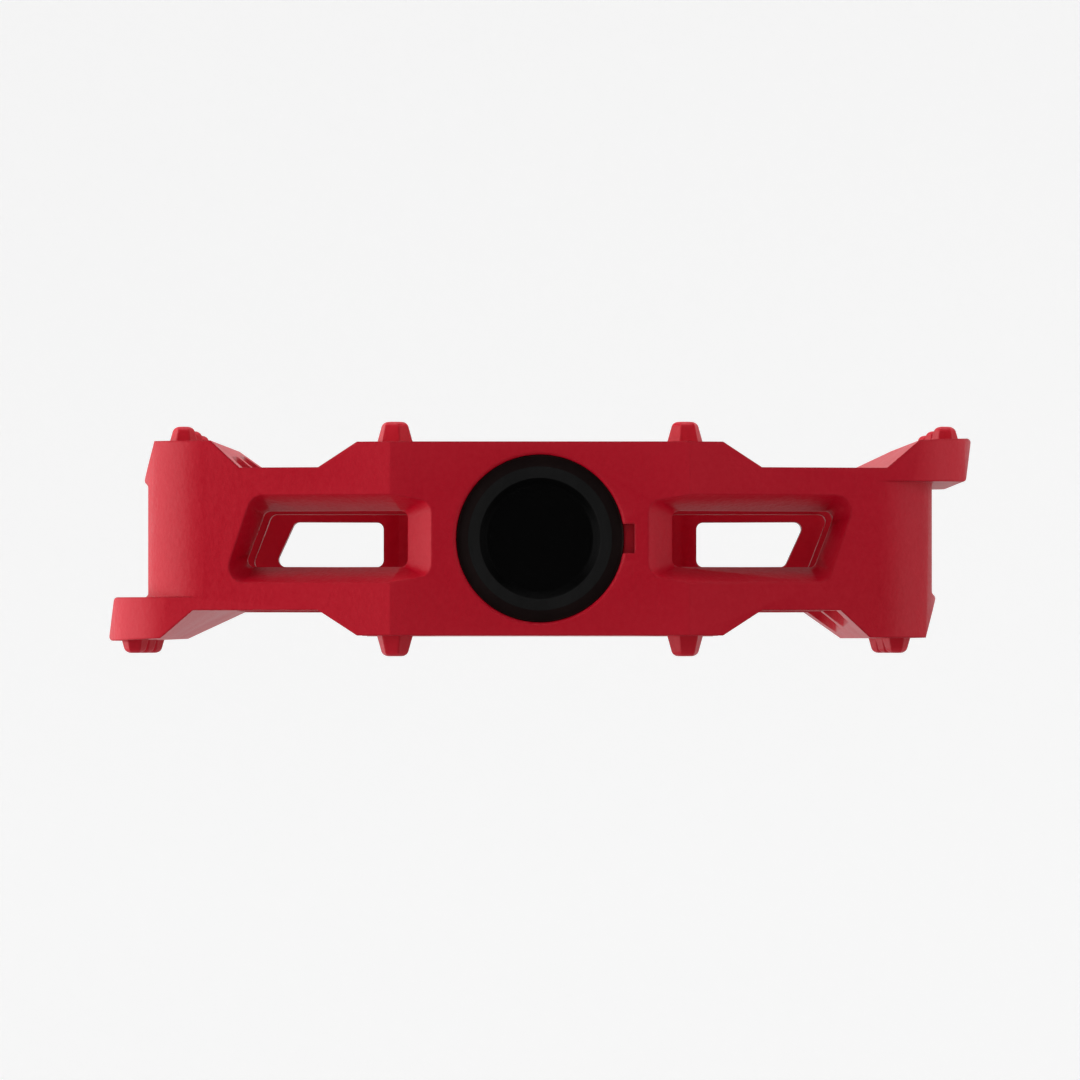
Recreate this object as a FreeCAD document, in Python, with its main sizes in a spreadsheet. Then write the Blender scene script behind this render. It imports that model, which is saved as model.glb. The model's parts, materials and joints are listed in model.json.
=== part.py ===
"""Flat pedal: a moulded platform with moulded pins, turning on a spindle that screws into a crank arm.

Millimetres. The origin is the centre of the spindle's shoulder face, on the spindle axis.
+Y points into the crank, so the pedal's outboard end has the lowest Y. +X is the leading side, +Z is up.
A reach is a distance outboard of the shoulder face, along -Y.
"""

import FreeCAD
import Part
import math
import os

from FreeCAD import Vector
from Sketcher import Constraint

# Sizes that a designer sets.
DRIVING_SIZES = {
    # spindle
    "thread_radius": 7.14,
    "thread_length": 14.5,
    "thread_lead_in": 1.0,
    "key_socket_flats": 8.0,
    "key_socket_depth": 9.0,
    "flange_radius": 9.2,
    "flange_width": 7.0,
    "wrench_flats": 15.0,
    "journal_radius": 6.0,
    "neck_step": 0.8,
    "bearing_bore_radius": 4.0,
    "stud_radius": 3.0,
    "stud_chamfer": 0.6,
    "journal_overrun": 2.0,
    "neck_length": 9.0,
    # platform, along the spindle
    "platform_gap": 8.0,
    "platform_length": 96.0,
    "opening_setback": 9.5,
    "rib_width": 5.0,
    # platform, across the spindle
    "side_half": 47.5,
    "lip_overhang": 4.9,
    "small_lip_overhang": 0.55,
    "lip_lean": 0.75,
    "small_lip_lean": 0.8,
    "face_half": 18.0,
    "sweep_slope": 0.325,
    "side_corner_radius": 11.0,
    "side_bar_width": 10.0,
    "spine_half": 13.0,
    "opening_corner": 3.0,
    "hub_half": 22.0,
    "hub_ramp_run": 4.7,
    # ramps up to the lips, measured in from the sides at the platform's outboard and inboard ends
    "lead_foot_inset_out": 5.2,
    "lead_foot_inset_in": 10.2,
    "lead_top_inset_out": 1.5,
    "lead_top_inset_in": 2.8,
    "trail_foot_inset_out": 11.1,
    "trail_foot_inset_in": 14.0,
    "trail_top_inset_out": 7.6,
    "trail_top_inset_in": 9.3,
    # platform, heights above and below the spindle axis
    "recess_height": 8.6,
    "hub_rise": 3.05,
    "lip_under_height": 7.0,
    "small_lip_slope": 0.5,
    "lip_crown": 0.65,
    "bar_crown": 0.25,
    "pin_height": 2.5,
    # windows through the end bars
    "window_half_height": 3.4,
    "window_hub_half": 15.9,
    "window_side_gap": 1.7,
    "window_slant": 2.6,
    "window_corner": 0.9,
    "window_bevel": 1.9,
    "window_hub_bevel": 4.9,
    "window_wide_bevel": 2.5,
    "window_bevel_corner": 2.0,
    "window_bevel_depth": 3.9,
    "bevel_overrun": 0.3,
    "far_window_half_height": 2.85,
    "far_window_hub_half": 19.9,
    "far_window_side_gap": 3.8,
    # pins
    "pin_base_radius": 2.4,
    "pin_draft": 14.0,
    "pin_root": 0.6,
    "pin_edge": 0.8,
    "bar_pin_base_radius": 1.95,
    "bar_pin_drop": 0.4,
    "lead_pin_overhang": 1.7,
    "trail_pin_inset": 4.2,
    "bar_pin_spacing": 30.0,
    "bar_pin_inset": 18.0,
    "hub_pin_half": 17.5,
    "hub_pin_half_inboard": 18.6,
    "hub_pin_inset": 8.0,
    "pin_turn": 14.0,
    # bores
    "cap_radius": 10.05,
    "cap_flange": 2.0,
    "cap_sink": 0.2,
    "cap_room": 2.5,
    "cap_rim_edge": 0.5,
    "cap_bevel": 1.4,
    "cap_ring_width": 1.35,
    "cap_dish_wall": 0.9,
    "cap_dish_depth": 1.0,
    "cap_dish_crown": 0.15,
    "cap_plug_length": 2.4,
    "cap_plug_wall": 2.0,
    "cap_face_web": 0.5,
    "ring_groove_depth": 1.0,
    "ring_groove_width": 1.3,
    "ring_groove_setback": 0.5,
    "seal_radius": 10.0,
    "seal_width": 3.6,
    "seal_sink": 0.3,
    "seal_wall": 0.9,
    "seal_lip_length": 1.5,
    "seal_lip_wall": 0.8,
    "bush_wall": 1.0,
    "bush_sink": 0.2,
    "bush_length": 18.0,
    "shaft_room": 0.5,
    "bearing_radius": 8.0,
    "bearing_width": 5.0,
    "groove_depth": 0.3,
    "shield_overlap": 0.45,
    "cage_wall": 0.6,
    "cage_side": 0.45,
    "washer_thickness": 1.0,
    "nut_height": 5.0,
    "nut_flats": 10.0,
    "nut_collar": 1.3,
    "nut_collar_inset": 0.2,
    "nut_collar_wall": 0.5,
    "nut_insert_setback": 0.2,
    "washer_inset": 0.1,
    # small features
    "long_edge": 0.5,
    "bore_edge": 0.3,
    "notch_reach": 1.3,
    "notch_half": 1.75,
    "notch_depth": 1.2,
    # how far cutting outlines reach past what they cut
    "beyond": 8.0,
    "corner_margin": 0.05,
    "notch_overlap": 1.0,
    # clearances
    "running_gap": 0.03,
    "seat_gap": 0.01,
    "cap_gap": 0.05,
    "stud_end": 0.4,
    "cap_plug_gap": 0.1,
    "bush_edge": 0.4,
    "ring_corner": 0.4,
    "shield_inset": 0.15,
    "shield_width": 0.3,
}

# Sizes that follow from the driving ones.
DERIVED_SIZES = {
    "outboard_reach": "platform_gap + platform_length",
    "middle_reach": "platform_gap + platform_length / 2",
    "beyond_outboard": "outboard_reach + beyond",
    "beyond_inboard": "platform_gap - beyond",
    # across
    "lip_half": "side_half + lip_overhang",
    "lip_under_half": "lip_half - lip_lean",
    "small_lip_half": "side_half + small_lip_overhang",
    "small_lip_top_half": "side_half - small_lip_lean",
    "beyond_side": "lip_half + beyond",
    "lip_outline": "lip_half + corner_margin",
    "wall_outline": "small_lip_half + corner_margin",
    "lead_foot_out": "side_half - lead_foot_inset_out",
    "lead_foot_in": "side_half - lead_foot_inset_in",
    "lead_top_out": "side_half - lead_top_inset_out",
    "lead_top_in": "side_half - lead_top_inset_in",
    "trail_foot_out": "side_half - trail_foot_inset_out",
    "trail_foot_in": "side_half - trail_foot_inset_in",
    "trail_top_out": "side_half - trail_top_inset_out",
    "trail_top_in": "side_half - trail_top_inset_in",
    "hub_foot_half": "hub_half + hub_ramp_run",
    "opening_half": "side_half - side_bar_width",
    # up
    "hub_height": "recess_height + hub_rise",
    "lip_height": "hub_height + lip_crown",
    "lip_inner_height": "hub_height + lip_crown / 2",
    "bar_height": "hub_height + bar_crown",
    "wall_foot_height": "lip_under_height - small_lip_slope",
    # end faces, both ends
    "lip_corner_setback": "(lip_outline - face_half) * sweep_slope",
    "wall_corner_setback": "(wall_outline - face_half) * sweep_slope",
    "opening_side_setback": "opening_setback + (opening_half - face_half) * sweep_slope",
    "lip_corner_outboard": "outboard_reach - lip_corner_setback",
    "lip_corner_inboard": "platform_gap + lip_corner_setback",
    "wall_corner_outboard": "outboard_reach - wall_corner_setback",
    "wall_corner_inboard": "platform_gap + wall_corner_setback",
    "opening_outboard": "outboard_reach - opening_setback",
    "opening_inboard": "platform_gap + opening_setback",
    "opening_side_outboard": "outboard_reach - opening_side_setback",
    "opening_side_inboard": "platform_gap + opening_side_setback",
    "rib_outboard": "middle_reach + rib_width / 2",
    "rib_inboard": "middle_reach - rib_width / 2",
    # windows
    "window_side_top": "opening_half - window_side_gap",
    "window_side_bottom": "window_side_top - window_slant",
    "far_window_side_top": "opening_half - far_window_side_gap",
    "far_window_side_bottom": "far_window_side_top - window_slant",
    "sweep_stretch": "sqrt(1 + sweep_slope^2)",
    "window_mouth_half_height": "window_half_height + window_bevel",
    "window_mouth_hub": "(window_hub_half - window_hub_bevel) * sweep_stretch",
    "window_mouth_top": "(window_side_top + window_wide_bevel) * sweep_stretch",
    "window_mouth_bottom": "(window_side_bottom + 0.8 * window_bevel) * sweep_stretch",
    "window_throat_hub": "(window_hub_half + bevel_overrun) * sweep_stretch",
    "window_throat_top": "(window_side_top - bevel_overrun) * sweep_stretch",
    "window_throat_bottom": "(window_side_bottom - bevel_overrun) * sweep_stretch",
    "window_throat_half_height": "window_half_height - bevel_overrun",
    "window_mouth_lift": "outboard_reach + face_half * sweep_slope",
    "window_throat_lift": "window_mouth_lift - window_bevel_depth * sweep_stretch",
    "far_window_mouth_half_height": "far_window_half_height + window_bevel",
    "far_window_mouth_hub": "(far_window_hub_half - window_bevel) * sweep_stretch",
    "far_window_mouth_top": "(far_window_side_top + window_bevel) * sweep_stretch",
    "far_window_mouth_bottom": "(far_window_side_bottom + 0.8 * window_bevel) * sweep_stretch",
    "far_window_throat_hub": "(far_window_hub_half + bevel_overrun) * sweep_stretch",
    "far_window_throat_top": "(far_window_side_top - bevel_overrun) * sweep_stretch",
    "far_window_throat_bottom": "(far_window_side_bottom - bevel_overrun) * sweep_stretch",
    "far_window_throat_half_height": "far_window_half_height - bevel_overrun",
    "far_window_mouth_lift": "platform_gap - face_half * sweep_slope",
    "far_window_throat_lift": "far_window_mouth_lift + window_bevel_depth * sweep_stretch",
    "window_run": "beyond_outboard - middle_reach + rib_width",
    "far_window_run": "opening_side_setback + rib_width",
    # pins
    "pin_foot_height": "hub_height - pin_root",
    "pin_run": "pin_height + pin_root",
    "bar_pin_run": "pin_run - bar_pin_drop",
    "lead_pin_half": "side_half + lead_pin_overhang",
    "trail_pin_half": "side_half - trail_pin_inset",
    "pin_tip_height": "hub_height + pin_height",
    "bar_pin_tip_height": "pin_tip_height - bar_pin_drop",
    "bar_pin_outboard": "outboard_reach - bar_pin_inset",
    "bar_pin_middle": "bar_pin_outboard - bar_pin_spacing",
    "bar_pin_inboard": "bar_pin_middle - bar_pin_spacing",
    "hub_pin_outboard": "outboard_reach - hub_pin_inset",
    "hub_pin_inboard": "platform_gap + hub_pin_inset",
    # bores and what sits in them
    "cap_bore": "cap_radius + cap_gap",
    "cap_bore_mouth": "cap_bore + bore_edge",
    "cap_bore_edge_reach": "outboard_reach - bore_edge",
    "cap_step_reach": "outboard_reach - cap_flange - cap_sink",
    "bearing_seat": "bearing_radius + seat_gap",
    "bearing_stack_end": "cap_step_reach - cap_room - nut_collar - nut_height - washer_thickness",
    "bearing_seat_reach": "bearing_stack_end - 2 * bearing_width",
    "shaft_bore": "journal_radius + shaft_room",
    "seal_start_reach": "platform_gap + seal_sink",
    "seal_end_reach": "seal_start_reach + seal_width",
    "seal_seat": "seal_radius + seat_gap",
    "bush_start_reach": "seal_end_reach + bush_sink",
    "bush_end_reach": "bush_start_reach + bush_length",
    "bush_radius": "journal_radius + bush_wall",
    "seal_seat_radius": "bush_radius",
    "neck_radius": "journal_radius - neck_step",
    "bush_seat": "bush_radius + seat_gap",
    "bush_bore": "journal_radius + running_gap",
    "lip_seal_bore": "seal_seat_radius + running_gap",
    "washer_reach": "bearing_stack_end",
    "nut_reach": "washer_reach + washer_thickness",
    "collar_reach": "nut_reach + nut_height",
    "stud_reach": "collar_reach + nut_collar + stud_end",
    "notch_start": "cap_radius - notch_overlap",
    "thread_shoulder": "thread_length - thread_lead_in",
    "thread_tip_radius": "thread_radius - thread_lead_in",
    "socket_radius": "key_socket_flats / 2 / cos(30deg)",
    "half_flats": "wrench_flats / 2",
    "beyond_flange": "flange_radius + beyond",
    "journal_end_reach": "bush_end_reach + journal_overrun",
    "neck_start_reach": "bearing_seat_reach - neck_length",
    "stud_tip_radius": "stud_radius - stud_chamfer",
    "stud_shoulder_reach": "stud_reach - stud_chamfer",
    "ball_pitch_radius": "(bearing_bore_radius + bearing_radius) / 2",
    "ball_radius": "(bearing_radius - bearing_bore_radius) / 4",
    "race_wall": "(bearing_radius - bearing_bore_radius) / 2 - ball_radius + groove_depth",
    "inner_race_radius": "bearing_bore_radius + race_wall",
    "outer_race_bore": "bearing_radius - race_wall",
    "race_groove": "ball_radius + running_gap",
    "half_bearing": "bearing_width / 2",
    "race_bore": "bearing_bore_radius + seat_gap",
    "shield_inner_side": "shield_inset + shield_width",
    "shield_far_side": "bearing_width - shield_inset",
    "shield_far_inner_side": "bearing_width - shield_inner_side",
    "shield_radius": "outer_race_bore + shield_overlap",
    "shield_seat": "shield_radius + seat_gap",
    "shield_bore": "inner_race_radius + 2 * running_gap",
    "shield_seat_far": "bearing_width - shield_inner_side - seat_gap",
    "shield_seat_near": "shield_inner_side + seat_gap",
    "cage_inner": "ball_pitch_radius - cage_wall / 2",
    "cage_outer": "ball_pitch_radius + cage_wall / 2",
    "cage_half_width": "ball_radius + cage_side",
    "cage_low": "half_bearing - cage_half_width",
    "cage_high": "half_bearing + cage_half_width",
    "cage_pocket": "ball_radius + 2 * running_gap",
    "washer_bore": "stud_radius + 2 * seat_gap",
    "washer_radius": "inner_race_radius - washer_inset",
    "nut_bore": "stud_radius + seat_gap",
    "nut_radius": "nut_flats / 2 / cos(30deg)",
    "collar_radius": "nut_flats / 2 - nut_collar_inset",
    "insert_radius": "collar_radius - nut_collar_wall",
    "insert_seat": "insert_radius + seat_gap",
    "insert_end_reach": "collar_reach + nut_collar - nut_insert_setback",
    "insert_start_reach": "collar_reach + seat_gap",
    "cap_seat_reach": "cap_step_reach + seat_gap",
    "cap_plug_radius": "bearing_radius - cap_plug_gap",
    "cap_plug_end_reach": "cap_step_reach - cap_plug_length",
    "cap_cup_radius": "cap_plug_radius - cap_plug_wall",
    "cap_cup_floor_reach": "cap_step_reach + cap_face_web",
    "cap_rim_reach": "outboard_reach - cap_rim_edge",
    "cap_face_radius": "cap_radius - cap_bevel",
    "cap_dish_radius": "cap_face_radius - cap_ring_width",
    "cap_dish_floor_radius": "cap_dish_radius - cap_dish_wall",
    "cap_dish_reach": "outboard_reach - cap_dish_depth",
    "cap_dish_middle_reach": "cap_dish_reach - cap_dish_crown",
    "ring_groove_radius": "cap_plug_radius - ring_groove_depth",
    "ring_groove_outboard": "cap_step_reach - ring_groove_setback",
    "ring_groove_inboard": "ring_groove_outboard - ring_groove_width",
    "ring_inner": "ring_groove_radius + seat_gap",
    "ring_outer": "bearing_seat - seat_gap",
    "ring_outboard": "ring_groove_outboard - 2 * seat_gap",
    "ring_inboard": "ring_groove_inboard + 2 * seat_gap",
    "seal_shell": "seal_radius - seal_wall",
    "seal_web_reach": "seal_start_reach + seal_wall",
    "seal_lip_reach": "seal_web_reach + seal_lip_length",
    "seal_lip_outer": "lip_seal_bore + seal_lip_wall",
    "bush_edge_start": "bush_start_reach + bush_edge",
    "bush_edge_end": "bush_end_reach - bush_edge",
    "bush_edge_radius": "bush_radius - bush_edge",
    "notch_half_across": "cap_radius + notch_reach",
}

# Balls in each cartridge bearing.
BALL_COUNT = 10

doc = FreeCAD.newDocument("FlatPedal")
sheet = doc.addObject("Spreadsheet::Sheet", "Sizes")


def fill_sheet():
    """Writes the driving sizes as numbers and the others as formulas, each under its own name."""
    row = 0
    for name, size in DRIVING_SIZES.items():
        row += 1
        sheet.set("A%d" % row, name)
        sheet.set("B%d" % row, str(size))
        sheet.setAlias("B%d" % row, name)
    for name, formula in DERIVED_SIZES.items():
        row += 1
        sheet.set("A%d" % row, name)
        sheet.set("B%d" % row, "=" + formula)
        sheet.setAlias("B%d" % row, name)
    doc.recompute()


def number(term):
    """The value of a size's name, which may have a minus sign in front; "0" is the origin."""
    if term == "0":
        return 0.0
    size = float(sheet.get(term.lstrip("-")))
    return -size if term.startswith("-") else size


def bound(term):
    """The expression that ties a property to a size's name."""
    sign = "-" if term.startswith("-") else ""
    return sign + "Sizes." + term.lstrip("-")


def minus(term):
    """The name with its sign turned round."""
    if term == "0":
        return term
    return term[1:] if term.startswith("-") else "-" + term


def new_body(label):
    body = doc.addObject("PartDesign::Body", label)
    body.Label = label
    return body


def sketch_on(body, name, role, lift=None):
    """A sketch on one of the body's own origin planes, moved along the plane's normal by lift."""
    plane = next(f for f in body.Origin.OriginFeatures if f.Role == role)
    sketch = body.newObject("Sketcher::SketchObject", name)
    sketch.AttachmentSupport = [(plane, "")]
    sketch.MapMode = "FlatFace"
    if lift:
        sketch.setExpression("AttachmentOffset.Base.z", bound(lift))
    return sketch


def fix_point(sketch, item, end, across, up):
    """Holds a point at two named distances from the sketch's origin."""
    for kind, axis, term in (("DistanceX", -2, across), ("DistanceY", -1, up)):
        if term == "0":
            sketch.addConstraint(Constraint("PointOnObject", item, end, axis))
            continue
        index = sketch.addConstraint(Constraint(kind, -1, 1, item, end, number(term)))
        label = "%s_%d" % (kind, index)
        sketch.renameConstraint(index, label)
        sketch.setExpression("Constraints." + label, bound(term))


def fix_size(sketch, index, term):
    """Ties a constraint that was just added to a named size."""
    label = "Size_%d" % index
    sketch.renameConstraint(index, label)
    sketch.setExpression("Constraints." + label, bound(term))


def outline(sketch, corners):
    """A closed outline of straight lines; a corner is (across, up) or, rounded, (across, up, radius)."""
    points = [Vector(number(corner[0]), number(corner[1]), 0) for corner in corners]
    count = len(points)
    arrive = []
    leave = []
    arcs = {}
    for i, corner in enumerate(corners):
        here = points[i]
        if len(corner) == 2:
            arrive.append(here)
            leave.append(here)
            continue
        back = (points[i - 1] - here).normalize()
        ahead = (points[(i + 1) % count] - here).normalize()
        half_turn = back.getAngle(ahead) / 2
        radius = number(corner[2])
        run = radius / math.tan(half_turn)
        inward = (back + ahead).normalize()
        arrive.append(here + back * run)
        leave.append(here + ahead * run)
        middle = here + inward * (radius / math.sin(half_turn) - radius)
        arcs[i] = Part.Arc(arrive[i], middle, leave[i])
    lines = []
    for i in range(count):
        following = arrive[(i + 1) % count]
        lines.append(sketch.addGeometry(Part.LineSegment(leave[i], following), False))
    for i, corner in enumerate(corners):
        before = lines[i - 1]
        after = lines[i]
        if i not in arcs:
            sketch.addConstraint(Constraint("Coincident", before, 2, after, 1))
            fix_point(sketch, after, 1, corner[0], corner[1])
            continue
        arc = sketch.addGeometry(arcs[i], False)
        starts_here = sketch.getPoint(arc, 1).distanceToPoint(arrive[i]) < 1e-6
        first, last = (1, 2) if starts_here else (2, 1)
        tip = sketch.addGeometry(Part.Point(points[i]), True)
        sketch.addConstraint(Constraint("Tangent", before, 2, arc, first))
        sketch.addConstraint(Constraint("Tangent", arc, last, after, 1))
        sketch.addConstraint(Constraint("PointOnObject", tip, 1, before))
        sketch.addConstraint(Constraint("PointOnObject", tip, 1, after))
        fix_point(sketch, tip, 1, corner[0], corner[1])
        radius_rule = sketch.addConstraint(Constraint("Radius", arc, number(corner[2])))
        fix_size(sketch, radius_rule, corner[2])


def round_hole(sketch, across, up, radius):
    centre = Vector(number(across), number(up), 0)
    circle = sketch.addGeometry(Part.Circle(centre, Vector(0, 0, 1), number(radius)))
    fix_point(sketch, circle, 3, across, up)
    fix_size(sketch, sketch.addConstraint(Constraint("Radius", circle, number(radius))), radius)


def regular_outline(sketch, across, up, radius, sides, turn):
    """A closed regular outline; turn is the name of its first corner's angle in degrees, or "0"."""
    centre = Vector(number(across), number(up), 0)
    first_angle = math.radians(number(turn))
    ring = sketch.addGeometry(Part.Circle(centre, Vector(0, 0, 1), number(radius)), True)
    fix_point(sketch, ring, 3, across, up)
    fix_size(sketch, sketch.addConstraint(Constraint("Radius", ring, number(radius))), radius)
    corners = []
    for i in range(sides):
        angle = first_angle + i * 2 * math.pi / sides
        corners.append(centre + Vector(math.cos(angle), math.sin(angle), 0) * number(radius))
    lines = []
    for i in range(sides):
        lines.append(sketch.addGeometry(Part.LineSegment(corners[i], corners[(i + 1) % sides]), False))
    for i in range(sides):
        sketch.addConstraint(Constraint("Coincident", lines[i - 1], 2, lines[i], 1))
        sketch.addConstraint(Constraint("PointOnObject", lines[i], 1, ring))
        if i:
            sketch.addConstraint(Constraint("Equal", lines[0], lines[i]))
    spoke = sketch.addGeometry(Part.LineSegment(centre, corners[0]), True)
    sketch.addConstraint(Constraint("Coincident", spoke, 1, ring, 3))
    sketch.addConstraint(Constraint("Coincident", spoke, 2, lines[0], 1))
    if turn == "0":
        sketch.addConstraint(Constraint("Horizontal", spoke))
        return
    index = sketch.addConstraint(Constraint("Angle", spoke, first_angle))
    label = "Turn_%d" % index
    sketch.renameConstraint(index, label)
    sketch.setExpression("Constraints." + label, bound(turn) + " * 1deg")


def feature(body, kind, name, sketch, length=None, **settings):
    """A sketch-based feature; length is the name of its length."""
    made = body.newObject("PartDesign::" + kind, name)
    made.Profile = sketch
    for key, setting in settings.items():
        setattr(made, key, setting)
    if length:
        made.setExpression("Length", bound(length))
    return made


def turn_about_y(body, kind, name, corners):
    """A revolved or grooved outline; a corner is (radius, place along Y)."""
    sketch = sketch_on(body, name + "_profile", "XY_Plane")
    outline(sketch, corners)
    made = body.newObject("PartDesign::" + kind, name)
    made.Profile = sketch
    made.ReferenceAxis = (sketch, ["V_Axis"])
    made.Angle = 360
    return made


def other_side_too(body, name, *originals):
    """Repeats features half a turn round the spindle axis, so the other side and face have them too."""
    axis = next(f for f in body.Origin.OriginFeatures if f.Role == "Y_Axis")
    pattern = body.newObject("PartDesign::PolarPattern", name)
    pattern.Originals = list(originals)
    pattern.Axis = (axis, [""])
    pattern.Angle = 360
    pattern.Occurrences = 2
    body.Tip = pattern
    return pattern


def rounded(body, name, radius, chosen):
    """Rounds the edges of the body's latest shape that chosen() picks."""
    doc.recompute()
    base = body.Tip
    names = []
    for i, edge in enumerate(base.Shape.Edges):
        if chosen(edge):
            names.append("Edge%d" % (i + 1))
    made = body.newObject("PartDesign::Fillet", name)
    made.Base = (base, names)
    made.setExpression("Radius", bound(radius))
    body.Tip = made
    return made


def runs_along(edge):
    """True for a long edge of the spine, the walls or the lips."""
    run = abs(edge.Vertexes[0].Y - edge.Vertexes[-1].Y)
    return run > number("platform_length") / 4 and edge.Curve.TypeId != "Part::GeomBSplineCurve"


def platform_section(end):
    """The platform's end-on outline at its "out" or "in" end; half a turn leaves it unchanged."""
    upper = [
        ("side_half", "lip_under_height"),
        ("lip_under_half", "lip_under_height"),
        ("lip_half", "lip_height"),
        ("lead_top_" + end, "lip_inner_height"),
        ("lead_foot_" + end, "recess_height"),
        ("hub_foot_half", "recess_height"),
        ("hub_half", "hub_height"),
        ("-hub_half", "hub_height"),
        ("-hub_foot_half", "recess_height"),
        ("-trail_foot_" + end, "recess_height"),
        ("-trail_top_" + end, "bar_height"),
        ("-small_lip_top_half", "bar_height"),
        ("-small_lip_half", "lip_under_height"),
        ("-side_half", "wall_foot_height"),
    ]
    return upper + [(minus(across), minus(up)) for across, up in upper]


def build_platform():
    body = new_body("platform_body")

    # The block: one section blended into the other, because the ramps close in towards the crank.
    outboard = sketch_on(body, "outboard_section", "XZ_Plane", "outboard_reach")
    outline(outboard, platform_section("out"))
    inboard = sketch_on(body, "inboard_section", "XZ_Plane", "platform_gap")
    outline(inboard, platform_section("in"))
    block = body.newObject("PartDesign::AdditiveLoft", "block")
    block.Profile = outboard
    block.Sections = [inboard]
    block.Ruled = True

    # The swept-back ends and round corners, first through the lips, then through the walls below them.
    ends = sketch_on(body, "swept_ends", "XY_Plane")
    for side in ("", "-"):
        for edge, corner, beyond in (
            ("-outboard_reach", "-lip_corner_outboard", "-beyond_outboard"),
            ("-platform_gap", "-lip_corner_inboard", "-beyond_inboard"),
        ):
            outline(ends, [
                (side + "face_half", edge),
                (side + "lip_outline", corner, "side_corner_radius"),
                (side + "lip_outline", "-middle_reach"),
                (side + "beyond_side", "-middle_reach"),
                (side + "beyond_side", beyond),
                (side + "face_half", beyond),
            ])
    feature(body, "Pocket", "end_cuts", ends, Type="ThroughAll", SideType="Symmetric")
    walls = sketch_on(body, "wall_ends", "XY_Plane", "lip_under_height")
    for edge, corner, beyond in (
        ("-outboard_reach", "-wall_corner_outboard", "-beyond_outboard"),
        ("-platform_gap", "-wall_corner_inboard", "-beyond_inboard"),
    ):
        outline(walls, [
            ("face_half", edge),
            ("wall_outline", corner, "side_corner_radius"),
            ("wall_outline", "-middle_reach"),
            ("beyond_side", "-middle_reach"),
            ("beyond_side", beyond),
            ("face_half", beyond),
        ])
    wall_cuts = feature(body, "Pocket", "wall_cuts", walls, Type="ThroughAll")
    other_side_too(body, "wall_cuts_both", wall_cuts)

    # The open areas between the spine, the bars and the middle ribs.
    openings = sketch_on(body, "opening_outlines", "XY_Plane")
    for side in ("", "-"):
        for bar, bar_side, rib in (
            ("-opening_outboard", "-opening_side_outboard", "-rib_outboard"),
            ("-opening_inboard", "-opening_side_inboard", "-rib_inboard"),
        ):
            outline(openings, [
                (side + "spine_half", bar, "opening_corner"),
                (side + "face_half", bar),
                (side + "opening_half", bar_side, "opening_corner"),
                (side + "opening_half", rib, "opening_corner"),
                (side + "spine_half", rib, "opening_corner"),
            ])
    body.Tip = feature(body, "Pocket", "openings", openings, Type="ThroughAll", SideType="Symmetric")
    rounded(body, "long_edges", "long_edge", runs_along)

    cut_windows(body)
    add_pins(body)
    bore_out(body)
    return body


def window_corners(hub, side_top, side_bottom, half_height, corner):
    """A window's outline on the +X side: its side end slants, wider towards the top."""
    return [
        (hub, half_height, corner),
        (side_top, half_height, corner),
        (side_bottom, "-" + half_height, corner),
        (hub, "-" + half_height, corner),
    ]


def sketch_on_sweep(body, name, lift, turn_axis):
    """A sketch parallel to a swept-back end face; across is measured along that face."""
    sketch = sketch_on(body, name, "XZ_Plane")
    angle = math.degrees(math.atan(number("sweep_slope")))
    sketch.AttachmentOffset = FreeCAD.Placement(Vector(0, 0, 0), FreeCAD.Rotation(turn_axis, angle))
    sketch.setExpression("AttachmentOffset.Base.z", bound(lift))
    sketch.setExpression("AttachmentOffset.Rotation.Angle", "atan(Sizes.sweep_slope)")
    return sketch


def cut_windows(body):
    """The windows through the end bars and the middle ribs, in line, so that they can be looked through."""
    cuts = []
    for name, plane, length, against, turn_axis in (
        ("window", "beyond_outboard", "window_run", False, Vector(0, 1, 0)),
        ("far_window", "platform_gap", "far_window_run", True, Vector(0, -1, 0)),
    ):
        sketch = sketch_on(body, name + "_outline", "XZ_Plane", plane)
        outline(sketch, window_corners(
            name + "_hub_half", name + "_side_top", name + "_side_bottom",
            name + "_half_height", "window_corner",
        ))
        cuts.append(feature(body, "Pocket", name, sketch, length, Reversed=against))
        mouth = sketch_on_sweep(body, name + "_mouth_outline", name + "_mouth_lift", turn_axis)
        outline(mouth, window_corners(
            name + "_mouth_hub", name + "_mouth_top", name + "_mouth_bottom",
            name + "_mouth_half_height", "window_bevel_corner",
        ))
        throat = sketch_on_sweep(body, name + "_throat_outline", name + "_throat_lift", turn_axis)
        outline(throat, window_corners(
            name + "_throat_hub", name + "_throat_top", name + "_throat_bottom",
            name + "_throat_half_height", "window_corner",
        ))
        bevel = body.newObject("PartDesign::SubtractiveLoft", name + "_bevel")
        bevel.Profile = mouth
        bevel.Sections = [throat]
        bevel.Ruled = True
        cuts.append(bevel)
    other_side_too(body, "windows_both", *cuts)


def at_pin_tip(edge):
    """True for an edge round the flat tip of a pin."""
    heights = [abs(corner.Z) for corner in edge.Vertexes]
    return any(
        all(abs(height - number(tip)) < 1e-3 for height in heights)
        for tip in ("pin_tip_height", "bar_pin_tip_height")
    )


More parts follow.
